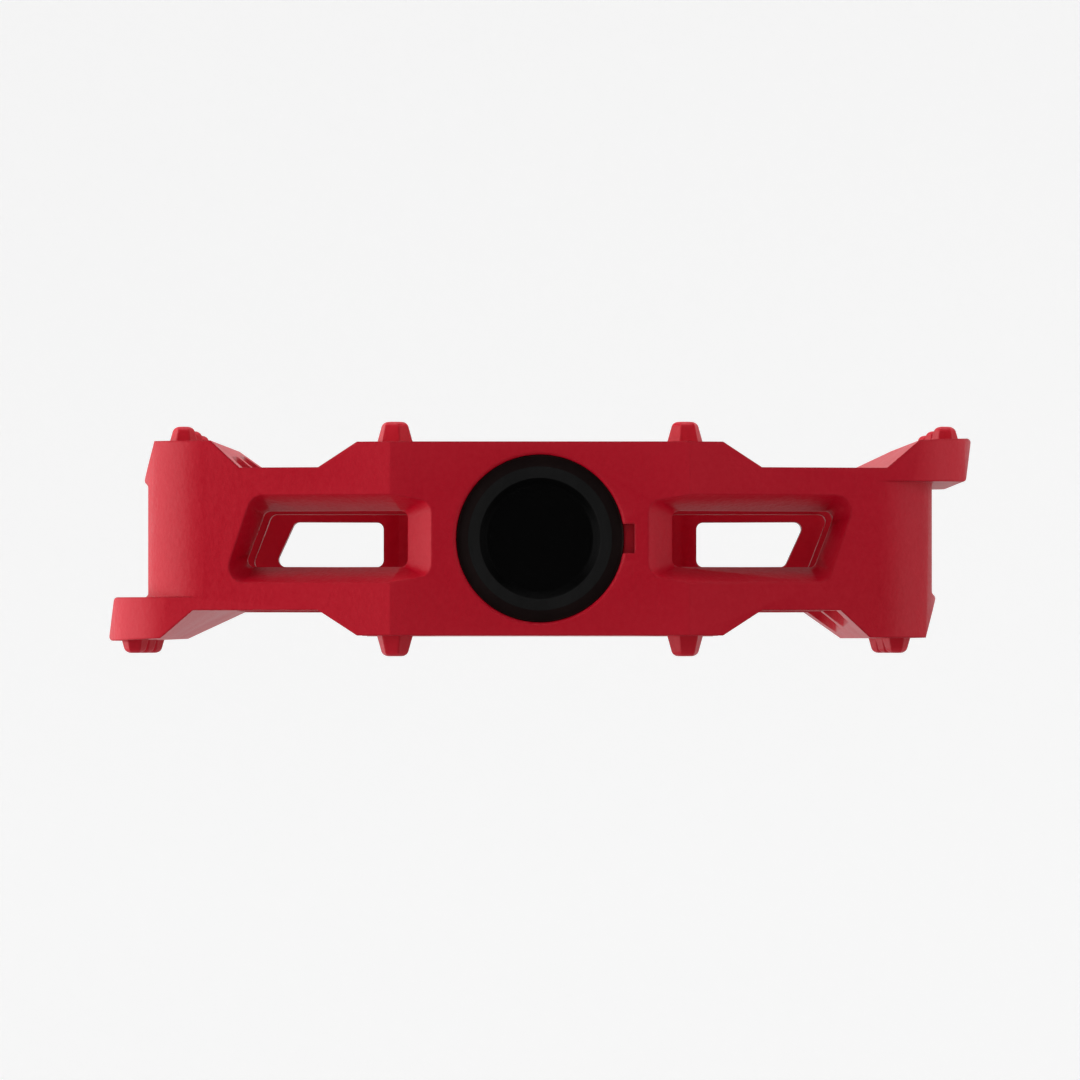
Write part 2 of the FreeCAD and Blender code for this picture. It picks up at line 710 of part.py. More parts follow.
def add_pins(body):
    """One face's moulded pins, two at each hub end and three on each side bar, then the other face's."""
    hub_feet = sketch_on(body, "hub_pin_outlines", "XY_Plane", "pin_foot_height")
    for across, reach in (
        ("hub_pin_half", "-hub_pin_outboard"),
        ("hub_pin_half_inboard", "-hub_pin_inboard"),
    ):
        regular_outline(hub_feet, across, reach, "pin_base_radius", 6, "pin_turn")
        regular_outline(hub_feet, minus(across), reach, "pin_base_radius", 6, "-pin_turn")
    bar_feet = sketch_on(body, "bar_pin_outlines", "XY_Plane", "pin_foot_height")
    for reach in ("-bar_pin_outboard", "-bar_pin_middle", "-bar_pin_inboard"):
        for across in ("lead_pin_half", "-trail_pin_half"):
            regular_outline(bar_feet, across, reach, "bar_pin_base_radius", 6, "0")
    hub_pins = feature(body, "Pad", "hub_pins", hub_feet, "pin_run")
    bar_pins = feature(body, "Pad", "bar_pins", bar_feet, "bar_pin_run")
    for pins in (hub_pins, bar_pins):
        pins.setExpression("TaperAngle", "-Sizes.pin_draft")
    other_side_too(body, "pins_both", hub_pins, bar_pins)
    rounded(body, "pin_tips", "pin_edge", at_pin_tip)


def bore_out(body):
    """The stepped bore, with seats for the cap, the bearings, the bush and the seal; and the pry notch."""
    turn_about_y(body, "Groove", "bores", [
        ("0", "-outboard_reach"),
        ("cap_bore_mouth", "-outboard_reach"),
        ("cap_bore", "-cap_bore_edge_reach"),
        ("cap_bore", "-cap_step_reach"),
        ("bearing_seat", "-cap_step_reach"),
        ("bearing_seat", "-bearing_seat_reach"),
        ("shaft_bore", "-bearing_seat_reach"),
        ("shaft_bore", "-bush_end_reach"),
        ("bush_seat", "-bush_end_reach"),
        ("bush_seat", "-seal_end_reach"),
        ("seal_seat", "-seal_end_reach"),
        ("seal_seat", "-platform_gap"),
        ("0", "-platform_gap"),
    ])
    notch = sketch_on(body, "notch_outline", "XZ_Plane", "outboard_reach")
    outline(notch, [
        ("notch_start", "notch_half"),
        ("notch_half_across", "notch_half"),
        ("notch_half_across", "-notch_half"),
        ("notch_start", "-notch_half"),
    ])
    feature(body, "Pocket", "pry_notch", notch, "notch_depth")
    body.Tip = body.getObject("pry_notch")


def build_turned(label, corners):
    """A piece turned about the spindle axis; a corner is (radius, place along Y)."""
    body = new_body(label)
    turn_about_y(body, "Revolution", label + "_turning", corners)
    return body


def build_spindle():
    body = build_turned("spindle", [
        ("0", "thread_length"),
        ("thread_tip_radius", "thread_length"),
        ("thread_radius", "thread_shoulder"),
        ("thread_radius", "0"),
        ("flange_radius", "0"),
        ("flange_radius", "-flange_width"),
        ("seal_seat_radius", "-flange_width"),
        ("seal_seat_radius", "-seal_end_reach"),
        ("journal_radius", "-bush_start_reach"),
        ("journal_radius", "-journal_end_reach"),
        ("neck_radius", "-neck_start_reach"),
        ("neck_radius", "-bearing_seat_reach"),
        ("bearing_bore_radius", "-bearing_seat_reach"),
        ("bearing_bore_radius", "-bearing_stack_end"),
        ("stud_radius", "-bearing_stack_end"),
        ("stud_radius", "-stud_shoulder_reach"),
        ("stud_tip_radius", "-stud_reach"),
        ("0", "-stud_reach"),
    ])
    socket = sketch_on(body, "key_socket_outline", "XZ_Plane", "-thread_length")
    regular_outline(socket, "0", "0", "socket_radius", 6, "0")
    feature(body, "Pocket", "key_socket", socket, "key_socket_depth", Reversed=True)
    flats = sketch_on(body, "wrench_flat_outlines", "XZ_Plane")
    for side in ("", "-"):
        outline(flats, [
            ("beyond_flange", side + "half_flats"),
            ("beyond_flange", side + "beyond_flange"),
            ("-beyond_flange", side + "beyond_flange"),
            ("-beyond_flange", side + "half_flats"),
        ])
    feature(body, "Pocket", "wrench_flat_cuts", flats, "flange_width", Reversed=True)
    return body


def build_seal():
    return build_turned("inboard_seal", [
        ("seal_shell", "-seal_start_reach"),
        ("seal_radius", "-seal_start_reach"),
        ("seal_radius", "-seal_end_reach"),
        ("seal_shell", "-seal_end_reach"),
        ("seal_shell", "-seal_web_reach"),
        ("seal_lip_outer", "-seal_web_reach"),
        ("seal_lip_outer", "-seal_lip_reach"),
        ("lip_seal_bore", "-seal_lip_reach"),
        ("lip_seal_bore", "-seal_start_reach"),
    ])


def build_bushing():
    return build_turned("inboard_bushing", [
        ("bush_bore", "-bush_start_reach"),
        ("bush_edge_radius", "-bush_start_reach"),
        ("bush_radius", "-bush_edge_start"),
        ("bush_radius", "-bush_edge_end"),
        ("bush_edge_radius", "-bush_end_reach"),
        ("bush_bore", "-bush_end_reach"),
    ])


def place_bearing_piece(piece, index):
    """Moves a bearing's piece from the origin to the bearing's seat; the inner bearing is number 0."""
    place = "-Sizes.bearing_seat_reach - %d * Sizes.bearing_width" % index
    piece.setExpression("Placement.Base.y", place)


def grooved(body, name):
    """The ball groove round a race."""
    sketch = sketch_on(body, name + "_outline", "XY_Plane")
    round_hole(sketch, "ball_pitch_radius", "-half_bearing", "race_groove")
    groove = body.newObject("PartDesign::Groove", name)
    groove.Profile = sketch
    groove.ReferenceAxis = (sketch, ["V_Axis"])
    groove.Angle = 360


def build_bearing(name, index):
    """One cartridge bearing: races, balls, cage and two shields."""
    pieces = []
    outer = build_turned(name + "_outer_race", [
        ("bearing_radius", "0"),
        ("bearing_radius", "-bearing_width"),
        ("shield_seat", "-bearing_width"),
        ("shield_seat", "-shield_seat_far"),
        ("outer_race_bore", "-shield_seat_far"),
        ("outer_race_bore", "-shield_seat_near"),
        ("shield_seat", "-shield_seat_near"),
        ("shield_seat", "0"),
    ])
    grooved(outer, name + "_outer_groove")
    inner = build_turned(name + "_inner_race", [
        ("race_bore", "0"),
        ("inner_race_radius", "0"),
        ("inner_race_radius", "-bearing_width"),
        ("race_bore", "-bearing_width"),
    ])
    grooved(inner, name + "_inner_groove")
    pieces += [outer, inner]
    for side, near, far in (
        ("inboard", "-shield_inset", "-shield_inner_side"),
        ("outboard", "-shield_far_inner_side", "-shield_far_side"),
    ):
        pieces.append(build_turned("%s_%s_shield" % (name, side), [
            ("shield_bore", near),
            ("shield_radius", near),
            ("shield_radius", far),
            ("shield_bore", far),
        ]))
    pieces += [build_cage(name), build_balls(name)]
    for piece in pieces:
        place_bearing_piece(piece, index)
    return pieces


def build_cage(name):
    """The ring that spaces the balls, with a round pocket for each."""
    body = build_turned(name + "_cage", [
        ("cage_inner", "-cage_low"),
        ("cage_outer", "-cage_low"),
        ("cage_outer", "-cage_high"),
        ("cage_inner", "-cage_high"),
    ])
    sketch = sketch_on(body, name + "_pocket_outline", "YZ_Plane")
    round_hole(sketch, "-half_bearing", "0", "cage_pocket")
    pocket = feature(body, "Pocket", name + "_pocket", sketch, "bearing_radius", Reversed=True)
    axis = next(f for f in body.Origin.OriginFeatures if f.Role == "Y_Axis")
    pattern = body.newObject("PartDesign::PolarPattern", name + "_pockets")
    pattern.Originals = [pocket]
    pattern.Axis = (axis, [""])
    pattern.Angle = 360
    pattern.Occurrences = BALL_COUNT
    body.Tip = pattern
    return body


def build_balls(name):
    """The ring of balls, as separate solids in one compound."""
    balls = []
    for i in range(BALL_COUNT):
        ball = doc.addObject("Part::Sphere", "%s_ball_%d" % (name, i + 1))
        angle = "%d * 360deg / %d" % (i, BALL_COUNT)
        ball.setExpression("Radius", "Sizes.ball_radius")
        ball.setExpression("Placement.Base.x", "Sizes.ball_pitch_radius * cos(%s)" % angle)
        ball.setExpression("Placement.Base.y", "-Sizes.half_bearing")
        ball.setExpression("Placement.Base.z", "Sizes.ball_pitch_radius * sin(%s)" % angle)
        balls.append(ball)
    group = doc.addObject("Part::Compound", name + "_balls")
    group.Label = name + "_balls"
    group.Links = balls
    return group


def build_washer():
    return build_turned("lock_washer", [
        ("washer_bore", "-washer_reach"),
        ("washer_radius", "-washer_reach"),
        ("washer_radius", "-nut_reach"),
        ("washer_bore", "-nut_reach"),
    ])


def build_nut():
    """The hexagon nut with a round collar that holds its nylon ring."""
    body = new_body("lock_nut")
    hexagon = sketch_on(body, "nut_outline", "XZ_Plane", "nut_reach")
    regular_outline(hexagon, "0", "0", "nut_radius", 6, "0")
    feature(body, "Pad", "nut_hexagon", hexagon, "nut_height")
    turn_about_y(body, "Revolution", "nut_collar_ring", [
        ("insert_seat", "-nut_reach"),
        ("collar_radius", "-nut_reach"),
        ("collar_radius", "-insert_end_reach"),
        ("insert_seat", "-insert_end_reach"),
    ])
    turn_about_y(body, "Groove", "nut_bore_cut", [
        ("0", "-nut_reach"),
        ("nut_bore", "-nut_reach"),
        ("nut_bore", "-collar_reach"),
        ("0", "-collar_reach"),
    ])
    body.Tip = body.getObject("nut_bore_cut")
    return body


def build_insert():
    return build_turned("nut_insert", [
        ("nut_bore", "-insert_start_reach"),
        ("insert_radius", "-insert_start_reach"),
        ("insert_radius", "-insert_end_reach"),
        ("nut_bore", "-insert_end_reach"),
    ])


def build_cap():
    return build_turned("end_cap", [
        ("0", "-cap_dish_middle_reach"),
        ("cap_dish_floor_radius", "-cap_dish_reach"),
        ("cap_dish_radius", "-outboard_reach"),
        ("cap_face_radius", "-outboard_reach"),
        ("cap_radius", "-cap_rim_reach"),
        ("cap_radius", "-cap_seat_reach"),
        ("cap_plug_radius", "-cap_seat_reach"),
        ("cap_plug_radius", "-ring_groove_outboard"),
        ("ring_groove_radius", "-ring_groove_outboard"),
        ("ring_groove_radius", "-ring_groove_inboard"),
        ("cap_plug_radius", "-ring_groove_inboard"),
        ("cap_plug_radius", "-cap_plug_end_reach"),
        ("cap_cup_radius", "-cap_plug_end_reach"),
        ("cap_cup_radius", "-cap_cup_floor_reach"),
        ("0", "-cap_cup_floor_reach"),
    ])


def build_cap_ring():
    return build_turned("end_cap_o_ring", [
        ("ring_inner", "-ring_outboard", "ring_corner"),
        ("ring_outer", "-ring_outboard", "ring_corner"),
        ("ring_outer", "-ring_inboard", "ring_corner"),
        ("ring_inner", "-ring_inboard", "ring_corner"),
    ])


def write_pieces(pieces):
    """Checks every object and every piece's solid, then writes one file for each piece."""
    for thing in doc.Objects:
        if "Invalid" in thing.State or "Error" in thing.State:
            raise RuntimeError("%s did not build: %s" % (thing.Name, thing.State))
    for piece in pieces:
        if piece.Shape.isNull() or not piece.Shape.isValid() or not piece.Shape.Solids:
            raise RuntimeError("%s is not a sound solid" % piece.Label)
    os.makedirs("parts", exist_ok=True)
    for piece in pieces:
        piece.Shape.exportStep("parts/%s.step" % piece.Label)


fill_sheet()
parts = [
    build_platform(),
    build_spindle(),
    build_seal(),
    build_bushing(),
    build_washer(),
    build_nut(),
    build_insert(),
    build_cap(),
    build_cap_ring(),
]
parts += build_bearing("inner_bearing", 0)
parts += build_bearing("outer_bearing", 1)
doc.recompute()
write_pieces(parts)
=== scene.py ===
# Looks of a moulded flat pedal: a satin red nylon platform, a black end cap, and a steel spindle with a
# cut thread, in a pale studio.

import json
import math

import bmesh
import bpy
from mathutils import Matrix, Vector


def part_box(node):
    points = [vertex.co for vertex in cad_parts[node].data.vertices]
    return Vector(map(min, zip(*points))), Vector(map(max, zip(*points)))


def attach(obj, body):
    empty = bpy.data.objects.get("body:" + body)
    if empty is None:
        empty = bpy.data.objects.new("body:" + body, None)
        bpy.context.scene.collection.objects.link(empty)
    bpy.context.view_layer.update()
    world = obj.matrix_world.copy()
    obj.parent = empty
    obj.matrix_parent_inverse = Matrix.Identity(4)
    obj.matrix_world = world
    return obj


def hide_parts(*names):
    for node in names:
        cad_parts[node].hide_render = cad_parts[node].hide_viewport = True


MM = 0.001

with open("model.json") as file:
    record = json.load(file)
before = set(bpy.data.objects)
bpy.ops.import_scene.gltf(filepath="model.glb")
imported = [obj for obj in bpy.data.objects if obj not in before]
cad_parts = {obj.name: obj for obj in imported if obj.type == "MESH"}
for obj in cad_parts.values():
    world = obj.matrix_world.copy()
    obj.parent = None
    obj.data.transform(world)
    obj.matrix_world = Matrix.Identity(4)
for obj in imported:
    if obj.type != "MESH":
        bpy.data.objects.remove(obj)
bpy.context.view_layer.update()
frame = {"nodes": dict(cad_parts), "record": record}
nodes = frame["nodes"]


# ---------------------------------------------------------------- mesh helpers

def new_piece(name, vertices, faces, smooth_angle=30.0):
    """A mesh object with flat faces kept flat and gentle bends shaded smooth."""
    mesh = bpy.data.meshes.new(name)
    mesh.from_pydata([tuple(v) for v in vertices], [], faces)
    mesh.validate()
    piece = bpy.data.objects.new(name, mesh)
    bpy.context.scene.collection.objects.link(piece)
    shade(piece, smooth_angle)
    return piece


def shade(piece, smooth_angle):
    """Smooth shading, with edges kept sharp where they bend by more than the angle in degrees."""
    piece.data.shade_smooth()
    piece.data.set_sharp_from_angle(angle=math.radians(smooth_angle))


def ring_stack(name, rings, smooth_angle=30.0):
    """A closed piece from rings round the Y axis.

    A ring is a list of (x, y, z) points, as many as in the other rings, or a single point on the axis.
    """
    vertices = []
    starts = []
    for ring in rings:
        starts.append((len(vertices), len(ring)))
        vertices += ring
    faces = []
    for (a, many_a), (b, many_b) in zip(starts, starts[1:]):
        count = max(many_a, many_b)
        for i in range(count):
            j = (i + 1) % count
            if many_a == 1:
                faces.append((a, b + j, b + i))
            elif many_b == 1:
                faces.append((a + i, a + j, b))
            else:
                faces.append((a + i, a + j, b + j, b + i))
    piece = new_piece(name, vertices, faces, smooth_angle)
    mesh = bmesh.new()
    mesh.from_mesh(piece.data)
    bmesh.ops.recalc_face_normals(mesh, faces=mesh.faces)
    mesh.to_mesh(piece.data)
    mesh.free()
    shade(piece, smooth_angle)
    return piece


def round_ring(radius, y, angles):
    """Points round the axis at one place along it; radius may be a function of the angle."""
    if radius == 0:
        return [(0.0, y, 0.0)]
    points = []
    for angle in angles:
        r = radius(angle) if callable(radius) else radius
        points.append((r * math.cos(angle), y, r * math.sin(angle)))
    return points


def even_angles(count):
    """Equally spaced angles round a full turn."""
    return [2 * math.pi * i / count for i in range(count)]


def rounded_profile(corners, steps=5):
    """An open line of (radius, y) points with each (radius, y, fillet) corner rounded off."""
    line = []
    for i, corner in enumerate(corners):
        here = Vector(corner[:2])
        if len(corner) == 2 or i in (0, len(corners) - 1):
            line.append(here)
            continue
        before = (Vector(corners[i - 1][:2]) - here).normalized()
        after = (Vector(corners[i + 1][:2]) - here).normalized()
        half_turn = before.angle(after) / 2
        run = corner[2] / math.tan(half_turn)
        centre = here + (before + after).normalized() * (corner[2] / math.sin(half_turn))
        first = here + before * run - centre
        last = here + after * run - centre
        turn = first.angle_signed(last)
        for k in range(steps + 1):
            bend = Matrix.Rotation(-turn * k / steps, 2)
            line.append(centre + bend @ first)
    return line


# ------------------------------------------------------------- material helpers

BEVEL_SAMPLES = 6


class Shader:
    """A material's node tree, with short calls for the nodes that the finishes share."""

    def __init__(self, name):
        self.material = bpy.data.materials.new(name)
        self.material.use_nodes = True
        self.tree = self.material.node_tree
        self.principled = self.tree.nodes["Principled BSDF"]
        self.place = self.add("ShaderNodeTexCoord").outputs["Object"]

    def add(self, kind, **settings):
        node = self.tree.nodes.new(kind)
        for key, setting in settings.items():
            setattr(node, key, setting)
        return node

    def join(self, source, target):
        self.tree.links.new(source, target)

    def noise(self, scale, detail=3.0, roughness=0.55, stretch=None, kind="ShaderNodeTexNoise"):
        """Cloud noise, or cell distance when the kind is a Voronoi texture, fixed to the object."""
        node = self.add(kind)
        node.inputs["Scale"].default_value = scale
        if kind == "ShaderNodeTexNoise":
            node.inputs["Detail"].default_value = detail
            node.inputs["Roughness"].default_value = roughness
        place = self.place
        if stretch:
            mapping = self.add("ShaderNodeMapping")
            mapping.inputs["Scale"].default_value = stretch
            self.join(self.place, mapping.inputs["Vector"])
            place = mapping.outputs["Vector"]
        self.join(place, node.inputs["Vector"])
        return node.outputs["Fac"] if kind == "ShaderNodeTexNoise" else node.outputs["Distance"]

    def ramp(self, source, low, high, low_out=0.0, high_out=1.0):
        """The source's run from low to high, clamped and stretched onto low_out to high_out."""
        node = self.add("ShaderNodeMapRange")
        node.inputs["From Min"].default_value = low
        node.inputs["From Max"].default_value = high
        node.inputs["To Min"].default_value = low_out
        node.inputs["To Max"].default_value = high_out
        self.join(source, node.inputs["Value"])
        return node.outputs["Result"]

    def maths(self, operation, first, second):
        node = self.add("ShaderNodeMath", operation=operation)
        for socket, source in zip(node.inputs, (first, second)):
            if isinstance(source, (int, float)):
                socket.default_value = source
            else:
                self.join(source, socket)
        return node.outputs["Value"]

    def blend_colours(self, factor, first, second):
        node = self.add("ShaderNodeMix", data_type="RGBA")
        self.join(factor, node.inputs["Factor"])
        for socket, colour in ((node.inputs[6], first), (node.inputs[7], second)):
            if isinstance(colour, tuple):
                socket.default_value = colour + (1.0,)
            else:
                self.join(colour, socket)
        return node.outputs[2]

    def bump(self, height, distance, strength=1.0, under=None):
        node = self.add("ShaderNodeBump")
        node.inputs["Strength"].default_value = strength
        node.inputs["Distance"].default_value = distance
        self.join(height, node.inputs["Height"])
        if under:
            self.join(under, node.inputs["Normal"])
        return node.outputs["Normal"]

    def off_axis(self):
        """Distance from the spindle axis."""
        split = self.add("ShaderNodeSeparateXYZ")
        self.join(self.place, split.inputs["Vector"])
        across = self.maths("MULTIPLY", split.outputs["X"], split.outputs["X"])
        up = self.maths("MULTIPLY", split.outputs["Z"], split.outputs["Z"])
        return self.maths("SQRT", self.maths("ADD", across, up), 0.0)

    def soft_edges(self, radius):
        """A normal that turns gently round every edge, as a moulded or tumbled edge does."""
        node = self.add("ShaderNodeBevel", samples=BEVEL_SAMPLES)
        node.inputs["Radius"].default_value = radius
        return node.outputs["Normal"]

    def edge_wear_and_highlight(self):
        """Where the surface turns outwards sharply, from 0 to 1."""
        return self.ramp(self.add("ShaderNodeNewGeometry").outputs["Pointiness"], 0.53, 0.60)


def platform_nylon():
    """Satin moulded red nylon: fine spark-eroded grain, soft flow clouding, and paler edges that are partly
    wear and partly a painted edge highlight.
    """
    s = Shader("platform_nylon")
    clouds = s.noise(55.0, 4.0)
    flow = s.noise(30.0, 5.0, stretch=(1.0, 0.25, 2.5))
    grain = s.noise(2300.0, 2.0)
    speckle = s.noise(1500.0, 4.0, 0.7)
    pits = s.noise(900.0, kind="ShaderNodeTexVoronoi")
    colour = s.blend_colours(s.ramp(clouds, 0.3, 0.7), (0.405, 0.0, 0.0105), (0.445, 0.0004, 0.0135))
    colour = s.blend_colours(s.ramp(speckle, 0.35, 0.65, 0.0, 0.30), colour, (0.50, 0.012, 0.025))
    colour = s.blend_colours(s.ramp(flow, 0.62, 0.8, 0.0, 0.35), colour, (0.50, 0.003, 0.02))
    # Paler convex edges: partly wear, partly a painted highlight along the edges.
    wear_and_highlight = s.ramp(s.edge_wear_and_highlight(), 0.0, 1.0, 0.0, 0.35)
    colour = s.blend_colours(wear_and_highlight, colour, (0.56, 0.02, 0.035))
    s.join(colour, s.principled.inputs["Base Color"])
    rough = s.ramp(s.maths("ADD", grain, clouds), 0.6, 1.4, 0.36, 0.50)
    s.join(rough, s.principled.inputs["Roughness"])
    s.principled.inputs["IOR"].default_value = 1.53
    s.principled.inputs["Specular IOR Level"].default_value = 0.13
    fine = s.bump(grain, 0.00005, 0.7, s.soft_edges(0.0004))
    s.join(s.bump(pits, 0.00006, 0.3, fine), s.principled.inputs["Normal"])
    return s.material


CAP_RADIUS = 10.05 * MM
CAP_RING = 8.65 * MM
CAP_DISH = 7.3 * MM


def cap_nylon():
    """Black moulded cap: brownish satin bevel, a greyer flat ring that is painted sheen, a near-black dish
    that is painted shade, and a painted highlight round the outer rim.
    """
    s = Shader("cap_nylon")
    grain = s.noise(2200.0, 3.0)
    scuffs = s.noise(180.0, 6.0, 0.7, stretch=(1.0, 1.0, 0.2))
    radius = s.off_axis()
    patchy = s.ramp(scuffs, 0.45, 0.75)
    bevel = s.blend_colours(patchy, (0.0062, 0.0030, 0.0029), (0.0100, 0.0052, 0.0048))
    # Painted sheen: the flat ring is made greyer than the bevel, though it is the same black nylon.
    ring = s.blend_colours(patchy, (0.0088, 0.0088, 0.0088), (0.0125, 0.0125, 0.0125))
    # Painted shade: the dish is made near-black, though it is the same black nylon.
    dish = s.blend_colours(patchy, (0.0001, 0.0001, 0.0001), (0.0003, 0.0003, 0.0003))
    colour = s.blend_colours(s.ramp(radius, CAP_RING + 0.03 * MM, CAP_RING - 0.05 * MM), bevel, ring)
    colour = s.blend_colours(s.ramp(radius, CAP_DISH + 0.02 * MM, CAP_DISH - 0.08 * MM), colour, dish)
    # A painted highlight round the outer rim, made patchy by the scuffs.
    rim = s.ramp(radius, CAP_RADIUS - 0.2 * MM, CAP_RADIUS - 0.04 * MM)
    painted_rim_highlight = s.maths("MULTIPLY", rim, s.ramp(scuffs, 0.35, 0.65, 0.25, 1.0))
    colour = s.blend_colours(painted_rim_highlight, colour, (0.045, 0.022, 0.020))
    s.join(colour, s.principled.inputs["Base Color"])
    s.join(s.ramp(s.maths("ADD", grain, scuffs), 0.6, 1.5, 0.40, 0.58), s.principled.inputs["Roughness"])
    s.join(s.bump(grain, 0.00002, 0.5, s.soft_edges(0.0002)), s.principled.inputs["Normal"])
    s.principled.inputs["IOR"].default_value = 1.5
    s.principled.inputs["Specular IOR Level"].default_value = 0.04
    return s.material


def metal(name, dark, light, roughness, grain_stretch=(1.0, 8.0, 1.0)):
    """Machined steel with turning marks and faint staining."""
    s = Shader(name)
    marks = s.noise(900.0, 4.0, 0.6, stretch=grain_stretch)
    stains = s.noise(120.0, 5.0, 0.6)
    colour = s.blend_colours(s.ramp(stains, 0.35, 0.7), dark, light)
    s.join(colour, s.principled.inputs["Base Color"])
    s.principled.inputs["Metallic"].default_value = 1.0
    rough = s.ramp(s.maths("ADD", marks, stains), 0.6, 1.5, roughness * 0.75, roughness * 1.3)
    s.join(rough, s.principled.inputs["Roughness"])
    s.join(s.bump(marks, 0.00002, 0.4), s.principled.inputs["Normal"])
    return s.material


def rubber(name, dark, light, roughness=0.7):
    """Soft matt rubber or polymer with bloom and a moulded grain."""
    s = Shader(name)
    grain = s.noise(1800.0, 3.0)
    bloom = s.noise(140.0, 5.0, 0.6)
    s.join(s.blend_colours(s.ramp(bloom, 0.35, 0.75), dark, light), s.principled.inputs["Base Color"])
    s.join(s.ramp(grain, 0.3, 0.7, roughness * 0.85, roughness * 1.1), s.principled.inputs["Roughness"])
    s.join(s.bump(grain, 0.00003, 0.5), s.principled.inputs["Normal"])
    return s.material


FINISHES = {
    "platform_nylon": platform_nylon(),
    "cap_nylon": cap_nylon(),
    "spindle_steel": metal("spindle_steel", (0.16, 0.155, 0.15), (0.24, 0.235, 0.23), 0.34),
    "bearing_steel": metal("bearing_steel", (0.55, 0.55, 0.56), (0.66, 0.66, 0.67), 0.22),
    "ball_steel": metal("ball_steel", (0.66, 0.66, 0.67), (0.74, 0.74, 0.75), 0.12, (1.0, 1.0, 1.0)),
    "washer_steel": metal("washer_steel", (0.50, 0.50, 0.49), (0.60, 0.60, 0.60), 0.30),
    "nut_steel": metal("nut_steel", (0.50, 0.50, 0.50), (0.62, 0.62, 0.62), 0.28),
    "insert_nylon": rubber("insert_nylon", (0.05, 0.12, 0.42), (0.08, 0.17, 0.50), 0.45),
    "seal_rubber": rubber("seal_rubber", (0.012, 0.012, 0.012), (0.030, 0.030, 0.031), 0.62),
    "shield_rubber": rubber("shield_rubber", (0.016, 0.016, 0.018), (0.035, 0.035, 0.037), 0.50),
    "cage_nylon": rubber("cage_nylon", (0.50, 0.45, 0.33), (0.60, 0.55, 0.42), 0.45),
    "bush_polymer": rubber("bush_polymer", (0.06, 0.06, 0.062), (0.10, 0.10, 0.10), 0.50),
}

for entry in frame["record"]["subparts"]:
    node = nodes[entry["node"]]
    node.data.materials.clear()
    node.data.materials.append(FINISHES[entry["material_slot"]])


def dress(piece, slot, body, *replaced):
    """Gives a new piece its finish, body and the CAD nodes that it stands for."""
    piece.data.materials.clear()
    piece.data.materials.append(FINISHES[slot])
    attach(piece, body)
    if replaced:
        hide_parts(*replaced)


# ---------------------------------------------------------------- the platform

def strip_width(face):
    """Roughly how wide a face is across its narrow way."""
    return 2 * face.calc_area() / face.calc_perimeter()


MERGE_DISTANCE = 0.002 * MM
FLAT_ANGLE = math.radians(0.6)
SMALL_BEND = math.radians(9)
LARGE_BEND = math.radians(35)
BROAD_FACE = 0.6 * MM


def moulded_copy(node, name):
    """The platform's own shape in clean faces, each shaded evenly right up to its rounded edges."""
    mesh = nodes[node].data.copy()
    mesh.name = name
    piece = bpy.data.objects.new(name, mesh)
    bpy.context.scene.collection.objects.link(piece)
    work = bmesh.new()
    work.from_mesh(mesh)
    bmesh.ops.remove_doubles(work, verts=work.verts, dist=MERGE_DISTANCE)
    bmesh.ops.dissolve_limit(
        work,
        angle_limit=FLAT_ANGLE,
        verts=work.verts,
        edges=work.edges,
        use_dissolve_boundaries=False,
    )
    for edge in work.edges:
        if len(edge.link_faces) == 2:
            bend = edge.calc_face_angle(0.0)
            broad = min(strip_width(face) for face in edge.link_faces) > BROAD_FACE
            edge.smooth = bend < SMALL_BEND or (bend < LARGE_BEND and not broad)
    work.to_mesh(mesh)
    work.free()
    for polygon in mesh.polygons:
        polygon.use_smooth = True
    even = piece.modifiers.new("even_shading", "WEIGHTED_NORMAL")
    even.weight = 70
    even.keep_sharp = True
    bpy.context.view_layer.update()
    depsgraph = bpy.context.evaluated_depsgraph_get()
    final = bpy.data.meshes.new_from_object(piece.evaluated_get(depsgraph))
    piece.modifiers.clear()
    piece.data = final
    return piece


platform = moulded_copy("platform_body", "platform_moulding")
dress(platform, "platform_nylon", "platform", "platform_body")


# ----------------------------------------------------------------- the end cap

def turned(name, profile, count, smooth_angle=30.0):
    """A closed piece turned from a line of (radius, y) points that starts and ends on the axis."""
    angles = even_angles(count)
    return ring_stack(name, [round_ring(radius, y, angles) for radius, y in profile], smooth_angle)


def end_cap(outboard, inboard):
    """The cap: a bevelled flange round a flat ring and a dished middle, with a grooved plug behind."""
    def at(depth):
        return outboard + depth * MM

    plug = 7.9 * MM
    groove = 6.9 * MM
    hollow = 5.9 * MM
    flange_back = at(2.19)
    groove_front = at(2.7)
    groove_back = at(4.0)
    hollow_floor = at(1.7)
    corners = [
        (0.0, at(1.15)),
        (6.4 * MM, at(1.0), 0.5 * MM),
        (CAP_DISH, outboard, 0.12 * MM),
        (CAP_RING, outboard, 0.12 * MM),
        (CAP_RADIUS, at(0.5), 0.18 * MM),
        (CAP_RADIUS, flange_back, 0.15 * MM),
        (plug, flange_back, 0.2 * MM),
        (plug, groove_front, 0.1 * MM),
        (groove, groove_front, 0.15 * MM),
        (groove, groove_back, 0.15 * MM),
        (plug, groove_back, 0.1 * MM),
        (plug, inboard, 0.3 * MM),
        (hollow, inboard, 0.3 * MM),
        (hollow, hollow_floor, 0.4 * MM),
        (0.0, hollow_floor),
    ]
    profile = [(point[0], point[1]) for point in rounded_profile(corners)]
    return turned("end_cap_moulding", profile, 144, 24.0)


cap_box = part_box("end_cap")
dress(end_cap(cap_box[0].y, cap_box[1].y), "cap_nylon", "platform", "end_cap")


# ----------------------------------------------------------------- the spindle

